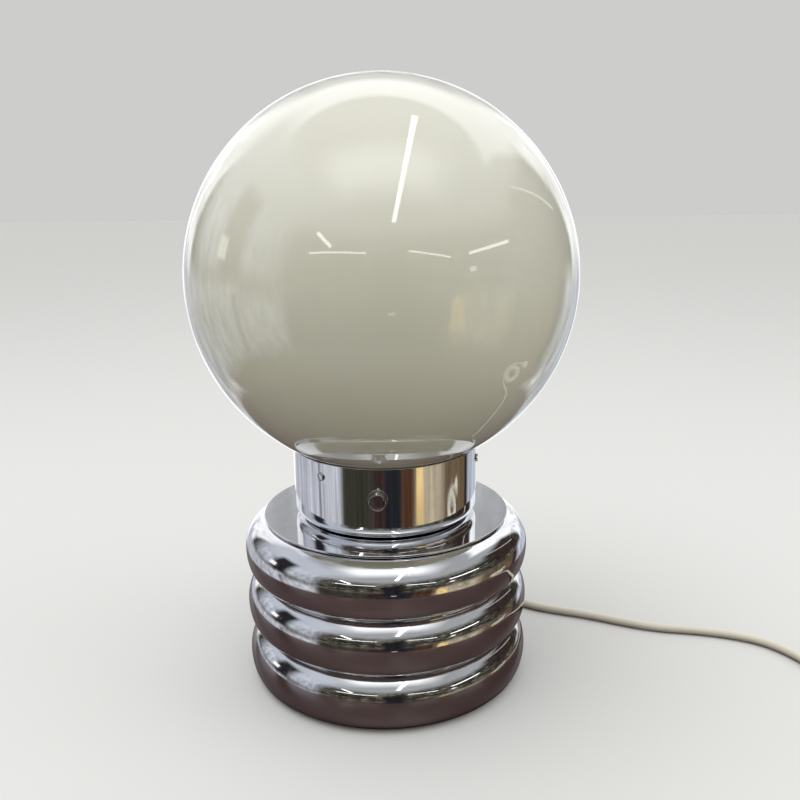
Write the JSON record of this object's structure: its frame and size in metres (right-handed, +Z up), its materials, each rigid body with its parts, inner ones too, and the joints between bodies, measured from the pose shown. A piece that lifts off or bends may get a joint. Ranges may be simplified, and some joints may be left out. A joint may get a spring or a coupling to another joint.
{
  "type": "table lamp",
  "caption": "Table lamp: opal glass globe held by screws in a chrome cup, on a stack of bulging chrome rings, with push switch, screw-in bulb, cord and two-pin plug.",
  "frame": {"origin": "centre of the base on the surface that the lamp stands on", "axes": "+Z up along the lamp's axis; the push button faces -Y, the front; the cord leaves at +Y, the back, and runs to +X"},
  "size_m": [0.561, 0.29, 0.3967],
  "materials": {
    "polished_chrome": "mirror-bright chromium plate on pressed steel",
    "small_chrome": "bright chromium plate on turned brass and steel",
    "opal_glass": "glossy opal glass, ivory white, opaque to the eye when unlit",
    "frosted_glass": "satin frosted glass",
    "clear_glass": "clear",
    "black_glass": "glossy black glass",
    "porcelain": "glossy white glaze",
    "zinc_steel": "zinc-plated steel, satin",
    "cast_iron": "as cast, black primer",
    "bulb_metal": "satin",
    "tungsten": "dark drawn wire",
    "brass": "bright brass",
    "black_plastic": "satin moulded",
    "black_rubber": "matte",
    "grey_felt": "pressed wool felt",
    "cream_plastic": "soft cream PVC, satin",
    "brown_insulation": "satin PVC",
    "blue_insulation": "satin PVC"
  },
  "bodies": {
    "lamp": {"base_pad": "grey_felt", "base_weight": "cast_iron", "bottom_plate": "zinc_steel", "bracket_nut": "zinc_steel", "centre_tube": "zinc_steel", "cord_bush": "cream_plastic", "cord_coil": "cream_plastic", "cord_inner": "cream_plastic", "cord_tail": "cream_plastic", "cup": "polished_chrome", "globe": "opal_glass", "globe_gasket": "black_rubber", "globe_rests": "zinc_steel", "globe_screw_nuts": "zinc_steel", "holder_body": "porcelain", "holder_bracket": "zinc_steel", "holder_contact": "brass", "holder_screws": "zinc_steel", "holder_shell": "brass", "holder_terminals": "brass", "lead_grommet": "black_rubber", "lead_live": "brown_insulation", "lead_neutral": "blue_insulation", "lead_switched": "brown_insulation", "plug_body": "cream_plastic", "plug_pins": "brass", "ring_bottom": "polished_chrome", "ring_middle": "polished_chrome", "ring_top": "polished_chrome", "supply_cord": "cream_plastic", "switch_body": "black_plastic", "switch_ferrule": "small_chrome", "switch_nut": "zinc_steel", "switch_terminals": "brass", "top_plate": "polished_chrome", "tube_nut_lower": "zinc_steel", "tube_nut_upper": "zinc_steel", "tube_washer_lower": "zinc_steel", "tube_washer_upper": "zinc_steel"},
    "button": {"push_button": "small_chrome", "switch_plunger": "black_plastic"},
    "bulb": {"bulb_glass": "frosted_glass", "bulb_cap": "bulb_metal", "bulb_insulator": "black_glass", "bulb_end_contact": "bulb_metal", "bulb_stem": "clear_glass", "bulb_filament": "tungsten"},
    "screw_left": {"globe_screw_left": "small_chrome"},
    "screw_right": {"globe_screw_right": "small_chrome"},
    "screw_rear": {"globe_screw_rear": "small_chrome"}
  },
  "joints": [
    {"name": "button_push", "type": "slide", "parent": "lamp", "child": "button", "axis": [0.0802, 0.9968, 0], "range_m": [0, 0.0025], "stiffness_N_per_m": 600},
    {"name": "screw_left_out", "type": "slide", "parent": "lamp", "child": "screw_left", "axis": [-0.6613, -0.7501, 0], "range_m": [0, 0.0055]},
    {"name": "screw_right_out", "type": "slide", "parent": "lamp", "child": "screw_right", "axis": [0.9803, -0.1977, 0], "range_m": [0, 0.0055]},
    {"name": "screw_rear_out", "type": "slide", "parent": "lamp", "child": "screw_rear", "axis": [-0.319, 0.9478, 0], "range_m": [0, 0.0055]},
    {"name": "bulb_turn", "type": "hinge", "parent": "lamp", "child": "bulb", "pos_m": [0, 0, 0.165], "axis": [0, 0, 1], "range_deg": [0, 1260]}
  ]
}
